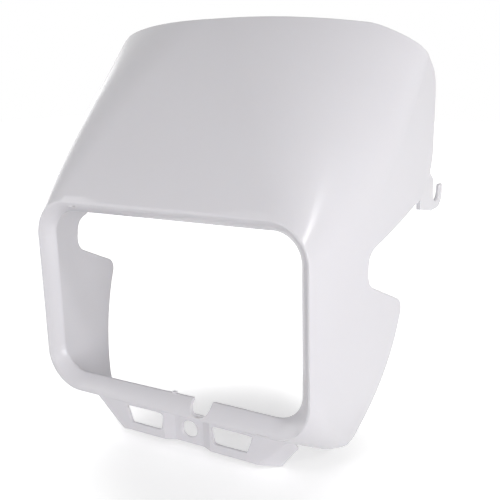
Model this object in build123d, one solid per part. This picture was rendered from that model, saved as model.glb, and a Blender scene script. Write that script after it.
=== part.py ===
from build123d import *
from math import exp, hypot
import os

# Motorcycle headlight mask: one moulded shell, open at the front and at the back.
# Millimetres. X is to the right seen from the front, Y runs back, Z is up.
# The sketch frame has its origin at the middle of the bezel's top crease, on the bezel face.
# The finished part is moved so that its origin is the lower bolt hole.
# A drop is measured down from the bezel's bottom and a rise up from it.
# An inset is measured inwards from the bezel's side.

# Wall of the whole moulding
wall = 2.8

# Bezel, the rectangular front that frames the headlight
bezel_width = 214.0
bezel_height = 140.3
bezel_radius = 27.5
bezel_crown = 1.2

# Lip that turns in from the bezel crease towards the headlight
lip_land = 1.3
lip_depth = 8.0
lip_reach_side = 9.0
lip_reach_top = 8.6
lip_reach_bottom = 11.3
lip_radius = 19.0
lip_bulge = 1.1

# Hood and side panels behind the bezel
side_flare = 27.0
flare_length = 62.0
hood_slope = 1.937
hood_bow = 0.0056
shoulder_span_growth = 1.367
shoulder_span_bow = 0.002
shoulder_drop_growth = 1.676
shoulder_drop_bow = 0.010
hood_flat = 8.0
tuck_rise = 60.3
tuck_radius = 221.0
floor_slope = 0.55
keel_radius = 9.0
keel_blend = 45.0
shell_depth = 162.0

# Rear rim, as corner points (back, up) of the side view with their radii
rim_crest_y = 70.0
rim_crest_z = 121.8
rim_brow_y = 111.0
rim_brow_z = 113.2
rim_brow_radius = 12.0
rim_shoulder_z = 78.5
rim_shoulder_radius = 22.0
rim_rear_y = 154.8
rim_heel_y = 153.0
rim_heel_z = 1.3
rim_heel_radius = 38.0
scoop_y = 53.9
scoop_top_rise = 111.9
scoop_bottom_rise = 91.3
scoop_radius = 11.0
lobe_y = 102.9
lobe_rise = 68.6
lobe_radius = 9.0
toe_y = 63.5
toe_drop = 27.1
toe_radius = 8.0
sole_y = 28.0
sole_drop = 19.7

# Apron, the bracket plate below the bezel
apron_y = 20.8
apron_drop = 34.7
apron_foot_inset = 50.0
fold_head_inset = 22.3
fold_head_drop = 8.7
pad_half = 12.0
pad_edge = 19.5
pad_recess = 3.5
gusset_tip_inset = 35.5
gusset_tip_y = 31.0
gusset_tip_drop = 37.2
gusset_heel_inset = 22.0
gusset_heel_y = 28.0
strip_rear_inset = 4.0
strip_rear_y = 58.0
bolt_hole_diameter = 12.5
bolt_hole_drop = 23.4

# Slots through the apron; the inner ends are measured from the pad
slot_top_drop = 14.7
slot_bottom_drop = 28.0
slot_inner_top = 0.3
slot_inner_bottom = 3.1
slot_outer_top_inset = 53.0
slot_outer_bottom_inset = 58.0
slot_corner_radius = 3.0

# Notch and gate mark in the bottom lip
notch_x = 24.0
notch_width = 15.4
notch_floor_rise = 1.6
gate_mark_half = 1.4
gate_mark_height = 0.9

# Dent in the top lip, near the left corner
dent_inset = 32.5
dent_y = 1.8
dent_z = -3.2
dent_length = 9.5
dent_width = 2.8
dent_tilt = -14.0

# Strap hooks at the rear rim
hook_thickness = 2.8
hook_inset = 0.3
hook_root_y = 130.0
hook_root_top_z = 13.0
hook_root_floor_z = -13.0
hook_neck_y = 148.0
hook_neck_z = 12.0
hook_stem_y = 160.3
hook_stem_z = 5.0
hook_gap = 16.7
hook_arm = 8.2
hook_tip_z = -1.5
hook_gap_floor_z = -12.4
hook_floor_z = -19.0
hook_heel_radius = 12.0

# Room that every cutting body runs past the moulding
clear = 12.0

# Places that follow from the sizes above
bezel_half = bezel_width / 2
fold_head_x = bezel_half - fold_head_inset
fold_head_z = -bezel_height - fold_head_drop
apron_foot_x = bezel_half - apron_foot_inset
apron_bottom_z = -bezel_height - apron_drop
bolt_z = -bezel_height - bolt_hole_drop
sole_z = -bezel_height - sole_drop


def half_width(y):
    return bezel_half + side_flare * (1 - exp(-y / flare_length))


def top_z(y):
    return bezel_crown + hood_slope * y - hood_bow * y * y


def floor_z(y):
    return -bezel_height - floor_slope * y


def side_run(y):
    """Length of a wall normal to the side panel, per unit of wall."""
    return hypot(1, side_flare / flare_length * exp(-y / flare_length))


def top_run(y):
    return hypot(1, hood_slope - 2 * hood_bow * y)


def quarter(start, corner, end):
    """Control points of a quarter ellipse, tangent to the lines that meet at corner."""
    pull = 0.5523
    near = tuple(s + (c - s) * pull for s, c in zip(start, corner))
    far = tuple(e + (c - e) * pull for e, c in zip(end, corner))
    return [start, near, far, end]


def section(y, inset):
    """Closed outline of the moulding at depth y, drawn inwards by inset."""
    w = half_width(y)
    span = min(bezel_radius + shoulder_span_growth * y - shoulder_span_bow * y * y, w - hood_flat)
    drop = bezel_radius + shoulder_drop_growth * y - shoulder_drop_bow * y * y
    side_x = w - inset * side_run(y)
    spring_z = top_z(y) - drop
    crown_x = w - span
    crown_z = top_z(y) - inset * top_run(y)
    edge_z = crown_z - bezel_crown * (crown_x / w) ** 2
    base_z = floor_z(y) + inset * hypot(1, floor_slope)
    opened = min(1.0, y / keel_blend)
    keel = (bezel_radius + (keel_radius - bezel_radius) * opened) * (1 - inset / bezel_radius)
    # below the tuck line the side leans in, more and more from the bezel backwards
    tuck_z = tuck_rise - bezel_height
    low_z = base_z + keel
    fall = tuck_z - low_z
    lean = opened * fall * fall / (2 * tuck_radius)
    low_x = side_x - lean
    keel_x = low_x - 2 * lean / fall * keel
    floor_x = keel_x - keel
    right = [
        quarter((crown_x, edge_z), (side_x, edge_z), (side_x, spring_z)),
        [(side_x, spring_z), (side_x, tuck_z)],
        [(side_x, tuck_z), (side_x, tuck_z - fall / 2), (low_x, low_z)],
        quarter((low_x, low_z), (keel_x, base_z), (floor_x, base_z)),
    ]
    left = [[(-x, z) for x, z in reversed(points)] for points in reversed(right)]
    crown = [(-crown_x, edge_z), (0, 2 * crown_z - edge_z), (crown_x, edge_z)]
    floor = [(floor_x, base_z), (-floor_x, base_z)]
    curves = [crown] + right + [floor] + left
    edges = [Bezier(*points) if len(points) > 2 else Line(*points) for points in curves]
    return Plane.XZ.offset(-y) * make_face(edges)


def moulding(inset, end):
    depths = [0, 0.12 * end, 0.28 * end, 0.5 * end, 0.75 * end, end]
    return loft([section(y, inset) for y in depths])


def rounded_face(plane, corners):
    """Face from corner points, each with its own radius (0 leaves it sharp)."""
    face = make_face(Polyline(*[(x, y) for x, y, _ in corners], close=True)).face()
    for x, y, radius in corners:
        if radius > 0:
            near = face.vertices().sort_by_distance((x, y, 0))[0]
            face = face.fillet_2d(radius, [near])
    return plane * face


def lip_ring(y, turn, grow):
    """Rounded rectangle of the lip at depth y; turn runs from 0 at the crease to 1 at the lip edge."""
    half_x = bezel_half - lip_land - (lip_reach_side - lip_land) * turn + grow
    top = bezel_crown / 2 - lip_land - (lip_reach_top - lip_land) * turn + grow
    bottom = -bezel_height + lip_land + (lip_reach_bottom - lip_land) * turn - grow
    radius = bezel_radius - lip_land - (bezel_radius - lip_land - lip_radius) * turn + grow
    ring = RectangleRounded(2 * half_x, top - bottom, radius)
    return Plane.XZ.offset(-y) * Pos(0, (top + bottom) / 2) * ring


def lip_plug(grow, back):
    """Body bounded by the lip face (grow 0) or by the rear of the lip (grow above 0)."""
    depths = [back, back + lip_depth / 2 - lip_bulge, back + lip_depth]
    rings = [lip_ring(y, turn, grow) for y, turn in zip(depths, (0, 0.5, 1))]
    return loft(rings) + extrude(rings[0], amount=clear, dir=(0, -1, 0))


def aperture():
    """Opening for the headlight, with the lip's face as its flared mouth."""
    return lip_plug(0, 0) + extrude(lip_ring(lip_depth, 1, 0), amount=clear, dir=(0, 1, 0))


def cavity():
    """Hollow of the shell, which leaves the bezel and its lip in front."""
    skew = wall / 2 ** 0.5
    band = Pos(0, skew - clear, 0) * Box(2 * bezel_width, 2 * clear, 3 * bezel_height)
    return moulding(wall, shell_depth + clear) - lip_plug(skew, skew) - band


def shell():
    """Hood, side panels, floor and bezel lip as one wall, open at the front and at the back."""
    block = (moulding(0, shell_depth) & rim_keeper()) - underside()
    return block - cavity() - aperture()


def rim_keeper():
    """Prism that keeps what lies in front of the rear rim, drawn in the side view."""
    high = 2 * rim_crest_z
    low = -2 * bezel_height
    corners = [
        (-clear, high, 0),
        (rim_crest_y, high, 0),
        (rim_crest_y, rim_crest_z, 0),
        (rim_brow_y, rim_brow_z, rim_brow_radius),
        (rim_rear_y, rim_shoulder_z, rim_shoulder_radius),
        (rim_heel_y, rim_heel_z, rim_heel_radius),
        (scoop_y, scoop_top_rise - bezel_height, scoop_radius),
        (scoop_y, scoop_bottom_rise - bezel_height, scoop_radius),
        (lobe_y, lobe_rise - bezel_height, lobe_radius),
        (toe_y, -bezel_height - toe_drop, toe_radius),
        (sole_y, sole_z, 0),
        (sole_y, low, 0),
        (-clear, low, 0),
    ]
    return extrude(rounded_face(Plane.YZ, corners), amount=bezel_width, both=True)


def underside():
    """Opening under the mask, behind the apron and between the side panels."""
    back_y = apron_y + wall
    corners = [
        (pad_edge, back_y),
        (bezel_half - gusset_heel_inset, back_y),
        (bezel_half - strip_rear_inset, strip_rear_y),
        (bezel_half - strip_rear_inset, shell_depth + clear),
    ]
    corners = [(pad_half, back_y + pad_recess)] + corners
    plan = make_face(Polyline(*[(-x, y) for x, y in reversed(corners)], *corners, close=True))
    return Pos(0, 0, -bezel_height) * extrude(plan, amount=bezel_height, dir=(0, 0, -1))


def apron():
    """Bracket plate below the bezel, with a recessed pad round the bolt hole."""
    front = [(fold_head_x, apron_y), (pad_edge, apron_y), (pad_half, apron_y + pad_recess)]
    front += [(-x, y) for x, y in reversed(front)]
    back = [(x, y + wall) for x, y in reversed(front)]
    plate = extrude(make_face(Polyline(*front, *back, close=True)), amount=apron_drop, dir=(0, 0, -1))
    # the plate ends inside the floor's wall
    plate = Pos(0, 0, floor_z(apron_y + wall / 2) + wall / 2) * plate
    outline = [(-apron_foot_x, apron_bottom_z), (apron_foot_x, apron_bottom_z), (fold_head_x, fold_head_z)]
    outline += [(fold_head_x, -bezel_height), (-fold_head_x, -bezel_height), (-fold_head_x, fold_head_z)]
    face = make_face(Polyline(*outline, close=True))
    return plate & extrude(Plane.XZ * face, amount=2 * (apron_y + wall), both=True)


def gusset():
    """Corner of the apron, folded back along a slanted line; the right one."""
    foot = Vector(apron_foot_x, apron_y, apron_bottom_z)
    head = Vector(fold_head_x, apron_y, fold_head_z)
    tip = Vector(bezel_half - gusset_tip_inset, gusset_tip_y, -bezel_height - gusset_tip_drop)
    heel = Vector(bezel_half - gusset_heel_inset, gusset_heel_y, sole_z)
    out = (tip - foot).cross(head - foot).normalized()
    # the heel is dropped onto the plane of the other three corners
    heel = heel - out * (heel - foot).dot(out)
    face = make_face(Polyline(foot, tip, heel, head, close=True))
    inward = out if out.Y > 0 else out * -1
    return extrude(face, amount=wall, dir=inward)


def slot():
    """Cutting body of the right slot in the apron."""
    top_z = -bezel_height - slot_top_drop
    bottom_z = -bezel_height - slot_bottom_drop
    corners = [
        (pad_edge + slot_inner_top, top_z, slot_corner_radius),
        (bezel_half - slot_outer_top_inset, top_z, slot_corner_radius / 3),
        (bezel_half - slot_outer_bottom_inset, bottom_z, slot_corner_radius / 3),
        (pad_edge + slot_inner_bottom, bottom_z, slot_corner_radius),
    ]
    return extrude(rounded_face(Plane.XZ.offset(-apron_y), corners), amount=clear, both=True)


def bolt_hole():
    return Pos(0, apron_y, bolt_z) * Rot(90, 0, 0) * Cylinder(bolt_hole_diameter / 2, 2 * clear)


def notch():
    """Round-bottomed notch in the bottom lip."""
    radius = notch_width / 2
    centre_z = -bezel_height + notch_floor_rise + radius
    bore = Rot(90, 0, 0) * Cylinder(radius, 4 * clear)
    mouth = Pos(0, 0, clear) * Box(notch_width, 4 * clear, 2 * clear)
    return Pos(notch_x, 0, centre_z) * (bore + mouth)


def gate_mark():
    edge_z = -bezel_height + lip_reach_bottom
    nub = Box(2 * gate_mark_half, 2 * gate_mark_half, 2 * gate_mark_height)
    return Pos(0, lip_depth + wall / 2, edge_z) * nub


def dent():
    """Short groove, pointed at both ends."""
    half = loft([RegularPolygon(dent_width / 2, 8), Pos(0, 0, dent_length / 2) * RegularPolygon(dent_width / 6, 8)])
    groove = Rot(0, 90, 0) * (half + mirror(half, about=Plane.XY))
    return Pos(dent_inset - bezel_half, dent_y, dent_z) * Rot(0, dent_tilt, 0) * groove


def hook():
    """Flat hook inside the right rear rim, open upwards, that a rubber strap slips into."""
    face_x = half_width(hook_root_y) - hook_inset
    arm_y = hook_stem_y + hook_gap
    tail_y = arm_y + hook_arm
    gap_radius = hook_gap / 2 - 0.1
    corners = [
        (hook_root_y, hook_root_top_z, 0),
        (hook_neck_y, hook_neck_z, 0),
        (hook_stem_y, hook_stem_z, 4),
        (hook_stem_y, hook_gap_floor_z, gap_radius),
        (arm_y, hook_gap_floor_z, gap_radius),
        (arm_y, hook_tip_z, 1),
        (tail_y, hook_tip_z, 1.5),
        (tail_y, hook_floor_z, hook_heel_radius),
        (hook_stem_y, hook_floor_z, 0),
        (hook_root_y, hook_root_floor_z, 0),
    ]
    plate = rounded_face(Plane.YZ.offset(face_x), corners)
    return extrude(plate, amount=hook_thickness, dir=(-1, 0, 0))


def both_sides(body):
    return body + mirror(body, about=Plane.YZ)


def headlight_mask():
    body = shell() + apron() + both_sides(gusset()) + both_sides(hook())
    body = body - both_sides(slot()) - bolt_hole() - notch() - dent()
    body = body + gate_mark()
    return Pos(0, -apron_y - pad_recess, -bolt_z) * body


mask = headlight_mask()
os.makedirs("parts", exist_ok=True)
export_step(mask, "parts/headlight_mask.step")
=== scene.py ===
import math
import bmesh
import bpy
from mathutils import Matrix, Vector
from mathutils.bvhtree import BVHTree
from mathutils.geometry import barycentric_transform
from mathutils.kdtree import KDTree


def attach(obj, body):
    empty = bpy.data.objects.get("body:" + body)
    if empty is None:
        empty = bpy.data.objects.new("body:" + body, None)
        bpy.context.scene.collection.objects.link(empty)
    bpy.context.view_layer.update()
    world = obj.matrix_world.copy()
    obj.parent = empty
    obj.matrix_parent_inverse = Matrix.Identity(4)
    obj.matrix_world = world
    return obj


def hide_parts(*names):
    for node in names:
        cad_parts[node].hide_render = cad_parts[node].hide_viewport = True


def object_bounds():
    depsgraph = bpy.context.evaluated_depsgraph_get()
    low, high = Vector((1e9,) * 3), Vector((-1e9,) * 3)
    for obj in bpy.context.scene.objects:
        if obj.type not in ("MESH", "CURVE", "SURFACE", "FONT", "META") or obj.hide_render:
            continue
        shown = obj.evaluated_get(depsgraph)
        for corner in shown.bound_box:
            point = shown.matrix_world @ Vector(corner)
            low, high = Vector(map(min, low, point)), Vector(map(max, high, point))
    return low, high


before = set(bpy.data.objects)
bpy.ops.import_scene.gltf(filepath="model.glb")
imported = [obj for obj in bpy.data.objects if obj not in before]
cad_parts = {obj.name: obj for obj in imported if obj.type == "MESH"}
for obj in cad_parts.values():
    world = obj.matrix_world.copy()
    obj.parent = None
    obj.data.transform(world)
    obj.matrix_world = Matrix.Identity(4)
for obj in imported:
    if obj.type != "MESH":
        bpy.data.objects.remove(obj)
cad_low, cad_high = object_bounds()
cad_middle = (Vector(cad_low) + Vector(cad_high)) / 2

NODE = "headlight_mask"

# Camera, in metres and in the part's own frame
CAMERA_AT = (0.28203, -0.39131, 0.24945)
CAMERA_RIGHT = (0.8663, 0.4990, -0.0229)
CAMERA_UP = (-0.1004, 0.2188, 0.9706)
LENS_MM = 52.96
SENSOR_MM = 36.0

# Edges of the moulding, in metres and degrees
EDGE_ROUND = 0.0011
ROUND_STEPS = 3
SHARP_FROM = 30.0
FLAT_BELOW = 0.05
WELD = 0.00002
SHORTEST_EDGE = 0.0003
LONGEST_EDGE = 0.004
SMALLEST_FACE = 1e-9
LARGE_FACE_CORNERS = 5

# Share of the way to the next edge that a rounding may take, and the strip beside an edge kept free of points
ROOM_SHARE = 0.38
CLEAR_BESIDE = 0.0016

# Where faces fold over: how far off a rounding is narrowed, to what share, and how many times at most
EASE_REACH = 0.004
EASE_SHARE = 0.4
EASE_TRIES = 6

# Right hook's root, and how far round it the edges stay as they are
HOOK_ROOT = (0.1304, 0.128, 0.164)
ROOT_REACH = 0.013

# Normals are read this far inside a face, and kept where their cosine to the face's own is at least this
PROBE_IN = 0.00005
AGREE = 0.7

# Plastic: linear colours, roughness, light that goes into it (share, depth in metres), scales and grain
SHELL_PALE = (0.800, 0.785, 0.820, 1.0)
SHELL_DEEP = (0.775, 0.758, 0.795, 1.0)
ROUGH_LOW = 0.255
ROUGH_HIGH = 0.275
PLASTIC_IOR = 1.49
GLOW_SHARE = 0.10
GLOW_DEPTH = (0.0016, 0.0014, 0.0012)
TONE_SCALE = 14.0
TONE_DETAIL = 3.0
MOTTLE_SCALE = 160.0
GRAIN_SCALE = 1400.0
FINE_DETAIL = 2.0
GRAIN_HEIGHT = 0.000003

# Floor and surroundings. The floor's lift to white grows with the distance from LIFT_MIDDLE, in metres, so
# the floor near the object carries painted shade as well as the object's cast shadow.
WHITE = (1.0, 1.0, 1.0, 1.0)
FLOOR_COLOUR = (0.90, 0.90, 0.90, 1.0)
FLOOR_ROUGHNESS = 0.9
FLOOR_HALF = 3.0
FLOOR_DROP = 0.0005
LIFT_MIDDLE = (0.03, -0.065, 0.0)
LIFT_FROM = 0.06
LIFT_TO = 0.18
# Painted shade: the smallest lift, near the object, leaves a grey disc of floor around it
LIFT_IN_PAINTED_SHADE = 0.42
LIFT_FAR = 1.0
WORLD_LIGHT = 0.25

# Lamps: name, place, width in metres, power in watts
LAMPS = [
    ("key", (1.15, -0.65, 0.15), 0.6, 9.2),
    ("front", (0.50, -1.20, 0.05), 0.6, 2.8),
    ("high", (1.23, -0.37, 0.91), 0.16, 2.8),
    ("back", (1.10, 0.80, 0.30), 0.8, 0.7),
    ("fill", (-1.10, -0.70, 0.30), 0.8, 4.6),
    ("behind", (-1.50, 0.70, 0.20), 0.8, 3.5),
]


def tree_of(points):
    """The points in a form in which the nearest one is found fast."""
    tree = KDTree(len(points))
    for index, point in enumerate(points):
        tree.insert(point, index)
    tree.balance()
    return tree


def at_hook_root(place):
    """True beside a hook's root, where the edges lie too close together to be rounded."""
    on_right = Vector((abs(place.x), place.y, place.z))
    return (on_right - Vector(HOOK_ROOT)).length < ROOT_REACH


def sharp_edges(shape):
    return [edge for edge in shape.edges
            if edge.is_manifold and edge.calc_face_angle() > math.radians(SHARP_FROM)]


def edge_tree(sharp):
    """Points spread along the sharp edges, for finding the next edge across."""
    points = []
    for edge in sharp:
        start, end = (vertex.co for vertex in edge.verts)
        count = max(1, round((end - start).length / EDGE_ROUND))
        points += [start.lerp(end, (step + 0.5) / count) for step in range(count)]
    return tree_of(points)


def welded(mesh):
    """Mesh opened for editing, its seams closed and its flat faces whole, except at the hooks' roots."""
    shape = bmesh.new()
    shape.from_mesh(mesh)
    bmesh.ops.remove_doubles(shape, verts=shape.verts, dist=WELD)
    bmesh.ops.dissolve_degenerate(shape, dist=SHORTEST_EDGE, edges=shape.edges)
    for number, face in enumerate(shape.faces, start=1):
        face.material_index = number if at_hook_root(face.calc_center_median()) else 0
    bmesh.ops.dissolve_limit(
        shape, angle_limit=math.radians(FLAT_BELOW), use_dissolve_boundaries=False,
        verts=shape.verts, edges=shape.edges, delimit={"MATERIAL"},
    )
    sharp = sharp_edges(shape)
    on_edge = {vertex for edge in sharp for vertex in edge.verts}
    tree = edge_tree(sharp)
    beside = [vertex for vertex in shape.verts
              if vertex not in on_edge and not at_hook_root(vertex.co)
              and tree.find(vertex.co)[2] < CLEAR_BESIDE]
    bmesh.ops.dissolve_verts(shape, verts=beside)
    bmesh.ops.connect_verts_concave(shape, faces=shape.faces)
    for face in shape.faces:
        face.material_index = 0
    return shape


def cut_long_edges(shape):
    """Cuts the sharp edges into short pieces, so that the rounding can narrow along them."""
    pieces = {}
    for edge in sharp_edges(shape):
        cuts = int(edge.calc_length() / LONGEST_EDGE)
        pieces.setdefault(cuts, []).append(edge)
    for cuts in sorted(pieces):
        if cuts:
            bmesh.ops.bisect_edges(shape, edges=pieces[cuts], cuts=cuts)


def weigh_edges(shape):
    """Full rounding of an outer edge that has room, less where another edge runs close beside it."""
    weight = shape.edges.layers.float.new("bevel_weight_edge")
    cut_long_edges(shape)
    sharp = sharp_edges(shape)
    tree = edge_tree(sharp)
    for edge in sharp:
        start, end = (vertex.co for vertex in edge.verts)
        middle = (start + end) / 2
        if at_hook_root(middle) or not edge.is_convex:
            continue
        along = (end - start).normalized()
        room = EDGE_ROUND / ROOM_SHARE
        for point, index, distance in tree.find_range(middle, room):
            if distance > WELD and abs((point - middle).dot(along)) < distance / 2:
                room = min(room, distance)
        edge[weight] = room * ROOM_SHARE / EDGE_ROUND


def rounded(piece):
    """Mesh of the piece after its edges are rounded. The new faces carry material index 1."""
    bevel = piece.modifiers.new("edge_round", "BEVEL")
    bevel.limit_method = "WEIGHT"
    bevel.offset_type = "OFFSET"
    bevel.width = EDGE_ROUND
    bevel.segments = ROUND_STEPS
    bevel.use_clamp_overlap = False
    bevel.material = 1
    split = piece.modifiers.new("split_large_faces", "TRIANGULATE")
    split.min_vertices = LARGE_FACE_CORNERS
    split.ngon_method = "BEAUTY"
    view = bpy.context.evaluated_depsgraph_get()
    mesh = bpy.data.meshes.new_from_object(piece.evaluated_get(view))
    piece.modifiers.clear()
    return mesh


def folded_places(mesh, surface):
    """Middles of the triangles that face against the moulding's own surface."""
    mesh.calc_loop_triangles()
    places = []
    for triangle in mesh.loop_triangles:
        a, b, c = (mesh.vertices[vertex].co for vertex in triangle.vertices)
        middle = (a + b + c) / 3
        near, normal, index, distance = surface.find_nearest(middle)
        if triangle.area > SMALLEST_FACE and (b - a).cross(c - a).dot(normal) < 0:
            places.append(middle)
    return places


def ease_edges(mesh, places):
    """Narrows the rounding of the edges beside the places given."""
    tree = tree_of(places)
    weights = mesh.attributes["bevel_weight_edge"].data
    for edge in mesh.edges:
        start, end = (mesh.vertices[vertex].co for vertex in edge.vertices)
        near, index, distance = tree.find((start + end) / 2)
        if distance < EASE_REACH:
            weights[edge.index].value *= EASE_SHARE


def keep_inside(mesh, surface):
    """Puts back on the moulding's surface any point that the rounding pushed out of it."""
    for vertex in mesh.vertices:
        near, normal, index, distance = surface.find_nearest(vertex.co)
        if (vertex.co - near).dot(normal) > WELD:
            vertex.co = near


def surface_of(mesh):
    """The mesh in a form in which the nearest point on it is found fast."""
    places = [vertex.co.copy() for vertex in mesh.vertices]
    return BVHTree.FromPolygons(places, [tuple(face.vertices) for face in mesh.polygons])


def normals_of(mesh, surface):
    """Looks up the moulding's own surface normal nearest to a point."""
    places = [vertex.co.copy() for vertex in mesh.vertices]
    normals = [corner.vector.copy() for corner in mesh.corner_normals]

    def normal_at(point):
        near, flat_normal, index, distance = surface.find_nearest(point)
        face = mesh.polygons[index]
        a, b, c = (places[vertex] for vertex in face.vertices[:3])
        na, nb, nc = (normals[corner] for corner in face.loop_indices[:3])
        return barycentric_transform(near, a, b, c, na, nb, nc).normalized()

    return normal_at


def shade_from(mesh, normal_at):
    """Gives flat and curved faces the moulding's own normals, blended over the rounded edges."""
    corners = [None] * len(mesh.loops)
    shared = {}
    turning = {}
    for face in mesh.polygons:
        if face.material_index == 1:
            for vertex in face.vertices:
                turning[vertex] = turning.get(vertex, Vector()) + face.normal * face.area
            continue
        for corner in face.loop_indices:
            vertex = mesh.loops[corner].vertex_index
            place = mesh.vertices[vertex].co
            inward = (face.center - place).normalized() * PROBE_IN
            normal = normal_at(place + inward)
            if normal.dot(face.normal) < AGREE:
                normal = face.normal.copy()
            corners[corner] = normal
            shared[vertex] = shared.get(vertex, Vector()) + normal
    for face in mesh.polygons:
        if face.material_index == 1:
            for corner in face.loop_indices:
                vertex = mesh.loops[corner].vertex_index
                corners[corner] = shared.get(vertex, turning[vertex]).normalized()
    for face in mesh.polygons:
        face.material_index = 0
        face.use_smooth = True
    mesh.normals_split_custom_set(corners)


def rounded_moulding(source):
    """The moulding with its edges rounded, as the mould leaves them."""
    surface = surface_of(source.data)
    piece = bpy.data.objects.new("headlight_mask_moulding", source.data.copy())
    bpy.context.scene.collection.objects.link(piece)
    skin = plastic()
    piece.data.materials.clear()
    piece.data.materials.append(skin)
    piece.data.materials.append(skin)
    shape = welded(source.data)
    weigh_edges(shape)
    shape.to_mesh(piece.data)
    shape.free()
    mesh = rounded(piece)
    for attempt in range(EASE_TRIES):
        places = folded_places(mesh, surface)
        if not places:
            break
        ease_edges(piece.data, places)
        mesh = rounded(piece)
    keep_inside(mesh, surface)
    shade_from(mesh, normals_of(source.data, surface))
    mesh.materials.pop(index=1)
    piece.data = mesh
    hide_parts(NODE)
    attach(piece, "root")


def noise(nodes, links, place, scale, detail):
    texture = nodes.new("ShaderNodeTexNoise")
    texture.inputs["Scale"].default_value = scale
    texture.inputs["Detail"].default_value = detail
    links.new(place.outputs["Object"], texture.inputs["Vector"])
    return texture


def plastic():
    """White moulded plastic: satin gloss, faint flow mottling and a fine grain."""
    material = bpy.data.materials.new("white_plastic")
    material.use_nodes = True
    nodes = material.node_tree.nodes
    links = material.node_tree.links
    shader = nodes["Principled BSDF"]
    shader.inputs["IOR"].default_value = PLASTIC_IOR
    shader.inputs["Subsurface Weight"].default_value = GLOW_SHARE
    shader.inputs["Subsurface Radius"].default_value = GLOW_DEPTH
    shader.inputs["Subsurface Scale"].default_value = 1.0
    place = nodes.new("ShaderNodeTexCoord")
    broad = noise(nodes, links, place, TONE_SCALE, TONE_DETAIL)
    mottle = noise(nodes, links, place, MOTTLE_SCALE, FINE_DETAIL)
    grain = noise(nodes, links, place, GRAIN_SCALE, FINE_DETAIL)
    tone = nodes.new("ShaderNodeMix")
    tone.data_type = "RGBA"
    tone.inputs["A"].default_value = SHELL_DEEP
    tone.inputs["B"].default_value = SHELL_PALE
    links.new(broad.outputs["Fac"], tone.inputs["Factor"])
    links.new(tone.outputs["Result"], shader.inputs["Base Color"])
    gloss = nodes.new("ShaderNodeMapRange")
    gloss.inputs["To Min"].default_value = ROUGH_LOW
    gloss.inputs["To Max"].default_value = ROUGH_HIGH
    links.new(mottle.outputs["Fac"], gloss.inputs["Value"])
    links.new(gloss.outputs["Result"], shader.inputs["Roughness"])
    bump = nodes.new("ShaderNodeBump")
    bump.inputs["Strength"].default_value = 1.0
    bump.inputs["Distance"].default_value = GRAIN_HEIGHT
    links.new(grain.outputs["Fac"], bump.inputs["Height"])
    links.new(bump.outputs["Normal"], shader.inputs["Normal"])
    return material


def seen_directly(nodes, links):
    """1 for rays from the camera, off gloss or through clear material, else 0."""
    path = nodes.new("ShaderNodeLightPath")
    first = nodes.new("ShaderNodeMath")
    first.operation = "MAXIMUM"
    links.new(path.outputs["Is Camera Ray"], first.inputs[0])
    links.new(path.outputs["Is Glossy Ray"], first.inputs[1])
    both = nodes.new("ShaderNodeMath")
    both.operation = "MAXIMUM"
    links.new(first.outputs[0], both.inputs[0])
    links.new(path.outputs["Is Transmission Ray"], both.inputs[1])
    return both.outputs[0]


def pale_floor():
    """Pale matt floor, lifted to white where it is seen, that keeps the object's shadow. The lift is smaller
    near the object, which paints shade on the floor around it.
    """
    material = bpy.data.materials.new("pale_floor")
    material.use_nodes = True
    nodes = material.node_tree.nodes
    links = material.node_tree.links
    shader = nodes["Principled BSDF"]
    shader.inputs["Base Color"].default_value = FLOOR_COLOUR
    shader.inputs["Roughness"].default_value = FLOOR_ROUGHNESS
    shader.inputs["Specular IOR Level"].default_value = 0.0
    shader.inputs["Emission Color"].default_value = WHITE
    place = nodes.new("ShaderNodeTexCoord")
    reach = nodes.new("ShaderNodeVectorMath")
    reach.operation = "DISTANCE"
    reach.inputs[1].default_value = LIFT_MIDDLE
    links.new(place.outputs["Object"], reach.inputs[0])
    # Painted shade: less lift to white near the object darkens the floor around it
    lift = nodes.new("ShaderNodeMapRange")
    lift.interpolation_type = "SMOOTHSTEP"
    lift.inputs["From Min"].default_value = LIFT_FROM
    lift.inputs["From Max"].default_value = LIFT_TO
    lift.inputs["To Min"].default_value = LIFT_IN_PAINTED_SHADE
    lift.inputs["To Max"].default_value = LIFT_FAR
    links.new(reach.outputs["Value"], lift.inputs["Value"])
    strength = nodes.new("ShaderNodeMath")
    strength.operation = "MULTIPLY"
    links.new(lift.outputs["Result"], strength.inputs[0])
    links.new(seen_directly(nodes, links), strength.inputs[1])
    links.new(strength.outputs[0], shader.inputs["Emission Strength"])
    return material


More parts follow.
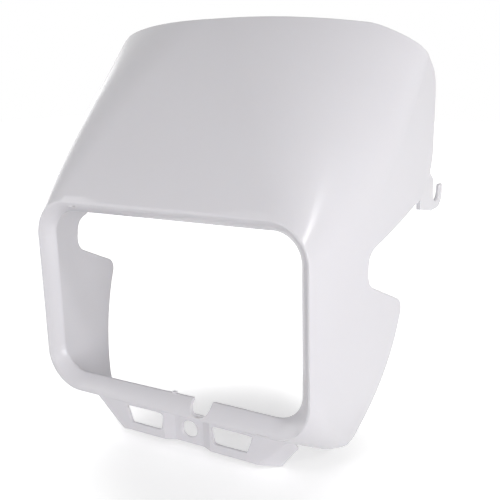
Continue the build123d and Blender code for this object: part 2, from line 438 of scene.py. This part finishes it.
def floor_sheet():
    """Wide floor just below the object."""
    corners = [(-FLOOR_HALF, -FLOOR_HALF, 0.0), (FLOOR_HALF, -FLOOR_HALF, 0.0),
               (FLOOR_HALF, FLOOR_HALF, 0.0), (-FLOOR_HALF, FLOOR_HALF, 0.0)]
    mesh = bpy.data.meshes.new("floor")
    mesh.from_pydata(corners, [], [(0, 1, 2, 3)])
    mesh.materials.append(pale_floor())
    sheet = bpy.data.objects.new("floor", mesh)
    sheet.location = (cad_middle.x, cad_middle.y, cad_low[2] - FLOOR_DROP)
    bpy.context.scene.collection.objects.link(sheet)


def surroundings():
    """Even pale light from all round, white where it is seen."""
    world = bpy.data.worlds.new("studio")
    bpy.context.scene.world = world
    world.use_nodes = True
    nodes = world.node_tree.nodes
    links = world.node_tree.links
    light = nodes["Background"]
    light.inputs["Color"].default_value = WHITE
    light.inputs["Strength"].default_value = WORLD_LIGHT
    seen = nodes.new("ShaderNodeBackground")
    seen.inputs["Color"].default_value = WHITE
    seen.inputs["Strength"].default_value = 1.0
    mix = nodes.new("ShaderNodeMixShader")
    links.new(seen_directly(nodes, links), mix.inputs["Fac"])
    links.new(light.outputs["Background"], mix.inputs[1])
    links.new(seen.outputs["Background"], mix.inputs[2])
    links.new(mix.outputs["Shader"], nodes["World Output"].inputs["Surface"])


def lamp(name, place, width, power):
    """Square soft lamp aimed at the middle of the object."""
    data = bpy.data.lights.new(name, "AREA")
    data.shape = "SQUARE"
    data.size = width
    data.energy = power
    light = bpy.data.objects.new(name, data)
    bpy.context.scene.collection.objects.link(light)
    light.location = place
    light.rotation_euler = (cad_middle - Vector(place)).to_track_quat("-Z", "Y").to_euler()


def camera():
    """Camera at the place from which the photograph was taken."""
    data = bpy.data.cameras.new("camera")
    data.lens = LENS_MM
    data.sensor_width = SENSOR_MM
    eye = bpy.data.objects.new("camera", data)
    bpy.context.scene.collection.objects.link(eye)
    right = Vector(CAMERA_RIGHT).normalized()
    up = Vector(CAMERA_UP)
    up = (up - right * up.dot(right)).normalized()
    turn = Matrix((right, up, right.cross(up))).transposed().to_4x4()
    eye.matrix_world = Matrix.Translation(CAMERA_AT) @ turn
    bpy.context.scene.camera = eye


camera()
rounded_moulding(bpy.data.objects[NODE])
floor_sheet()
surroundings()
for name, place, width, power in LAMPS:
    lamp(name, place, width, power)
bpy.context.scene.view_settings.view_transform = "Standard"
